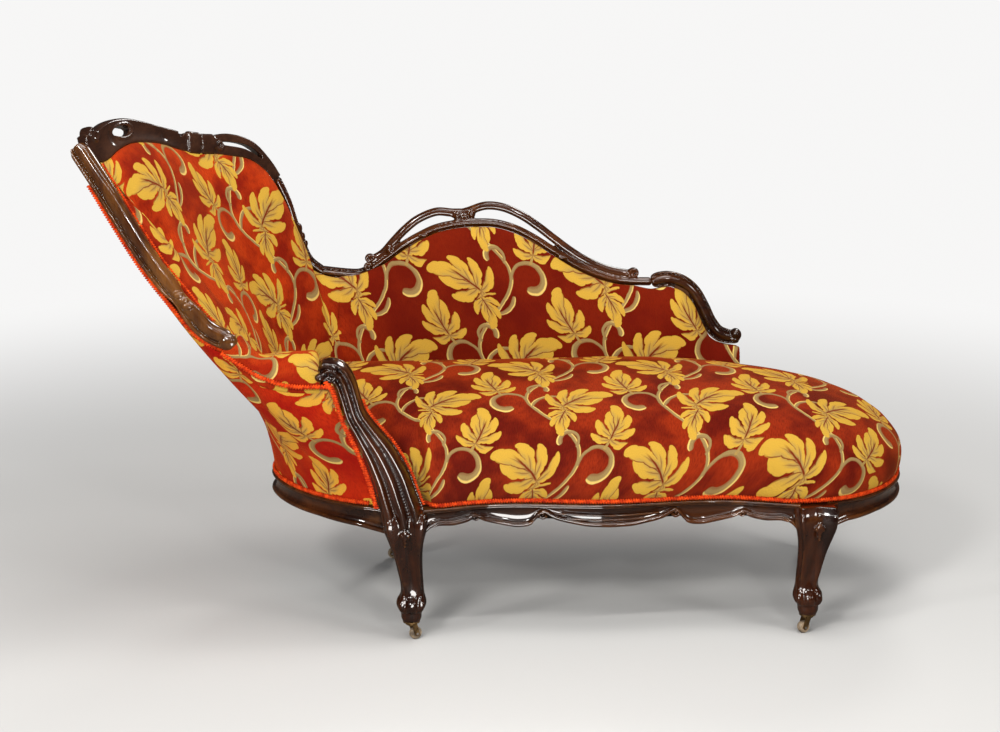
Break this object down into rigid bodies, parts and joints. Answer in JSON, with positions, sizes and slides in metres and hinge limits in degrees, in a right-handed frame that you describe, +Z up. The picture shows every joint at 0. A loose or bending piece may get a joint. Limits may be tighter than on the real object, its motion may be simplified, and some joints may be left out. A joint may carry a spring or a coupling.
{
  "type": "fainting couch",
  "caption": "Victorian chaise longue: carved show-wood frame, scrolled head with pierced crest, pierced arch along a half back, sprung domed seat, cabriole legs on swivel castors",
  "frame": {"origin": "on the floor under the middle of the couch", "axes": "X along the couch with the foot end at +X, Y across it with the wall side at +Y, Z up"},
  "size_m": [1.7359, 0.61, 1.0709],
  "materials": {
    "show_wood": "French-polished dark mahogany",
    "frame_wood": "plain sawn beech, unpolished",
    "floral_fabric": "chenille weave with gold scrolling leaves",
    "outside_fabric": "the same chenille, laid flat",
    "gimp_braid": "corded gimp braid",
    "jute_webbing": "woven jute",
    "spring_steel": "coppered spring wire, dulled",
    "hessian": "coarse jute hessian",
    "dust_cloth": "thin black dust cloth",
    "castor_brass": "aged brass",
    "axle_steel": "plain steel pin",
    "castor_china": "off-white china, worn"
  },
  "bodies": {
    "couch": {"front_rail": "show_wood", "head_end_rail": "show_wood", "foot_end_rail": "show_wood", "back_rail": "frame_wood", "leg_front_head": "show_wood", "leg_front_foot": "show_wood", "leg_rear_head": "show_wood", "leg_rear_foot": "show_wood", "arm_post": "show_wood", "arm_board": "frame_wood", "front_stile": "show_wood", "head_crest": "show_wood", "rear_stile": "show_wood", "valley_rail": "show_wood", "arch_rail": "show_wood", "shoulder_rail": "show_wood", "head_front_upright": "frame_wood", "head_middle_upright": "frame_wood", "head_rear_upright": "frame_wood", "head_tack_rail": "frame_wood", "side_head_upright": "frame_wood", "side_middle_upright": "frame_wood", "side_foot_upright": "frame_wood", "side_tack_rail": "frame_wood", "corner_blocks": "frame_wood", "seat_webbing": "jute_webbing", "seat_springs": "spring_steel", "spring_hessian": "hessian", "seat_pad": "floral_fabric", "head_pad": "floral_fabric", "side_back_pad": "floral_fabric", "arm_pad": "floral_fabric", "head_outside_cover": "outside_fabric", "side_outside_cover": "outside_fabric", "seat_gimp": "gimp_braid", "head_gimp": "gimp_braid", "dust_cover": "dust_cloth", "castor_screws": "castor_brass", "castor_plate_front_head": "castor_brass", "castor_plate_front_foot": "castor_brass", "castor_plate_rear_head": "castor_brass", "castor_plate_rear_foot": "castor_brass"},
    "swivel_front_head": {"castor_horn_front_head": "castor_brass", "castor_axle_front_head": "axle_steel"},
    "wheel_front_head": {"castor_wheel_front_head": "castor_china"},
    "swivel_front_foot": {"castor_horn_front_foot": "castor_brass", "castor_axle_front_foot": "axle_steel"},
    "wheel_front_foot": {"castor_wheel_front_foot": "castor_china"},
    "swivel_rear_head": {"castor_horn_rear_head": "castor_brass", "castor_axle_rear_head": "axle_steel"},
    "wheel_rear_head": {"castor_wheel_rear_head": "castor_china"},
    "swivel_rear_foot": {"castor_horn_rear_foot": "castor_brass", "castor_axle_rear_foot": "axle_steel"},
    "wheel_rear_foot": {"castor_wheel_rear_foot": "castor_china"}
  },
  "joints": [
    {"name": "front_head_swivel", "type": "hinge", "parent": "couch", "child": "swivel_front_head", "pos_m": [-0.21, -0.262, 0.034], "axis": [0, 0, 1], "continuous": true},
    {"name": "front_head_roll", "type": "hinge", "parent": "swivel_front_head", "child": "wheel_front_head", "pos_m": [-0.20184, -0.2582, 0.013], "axis": [-0.4226, 0.9063, 0], "continuous": true},
    {"name": "front_foot_swivel", "type": "hinge", "parent": "couch", "child": "swivel_front_foot", "pos_m": [0.62, -0.262, 0.034], "axis": [0, 0, 1], "continuous": true},
    {"name": "front_foot_roll", "type": "hinge", "parent": "swivel_front_foot", "child": "wheel_front_foot", "pos_m": [0.61154, -0.26508, 0.013], "axis": [0.342, -0.9397, 0], "continuous": true},
    {"name": "rear_head_swivel", "type": "hinge", "parent": "couch", "child": "swivel_rear_head", "pos_m": [-0.236, 0.254, 0.034], "axis": [0, 0, 1], "continuous": true},
    {"name": "rear_head_roll", "type": "hinge", "parent": "swivel_rear_head", "child": "wheel_rear_head", "pos_m": [-0.24446, 0.25708, 0.013], "axis": [-0.342, -0.9397, 0], "continuous": true},
    {"name": "rear_foot_swivel", "type": "hinge", "parent": "couch", "child": "swivel_rear_foot", "pos_m": [0.716, 0.254, 0.034], "axis": [0, 0, 1], "continuous": true},
    {"name": "rear_foot_roll", "type": "hinge", "parent": "swivel_rear_foot", "child": "wheel_rear_foot", "pos_m": [0.72446, 0.25708, 0.013], "axis": [-0.342, 0.9397, 0], "continuous": true}
  ]
}
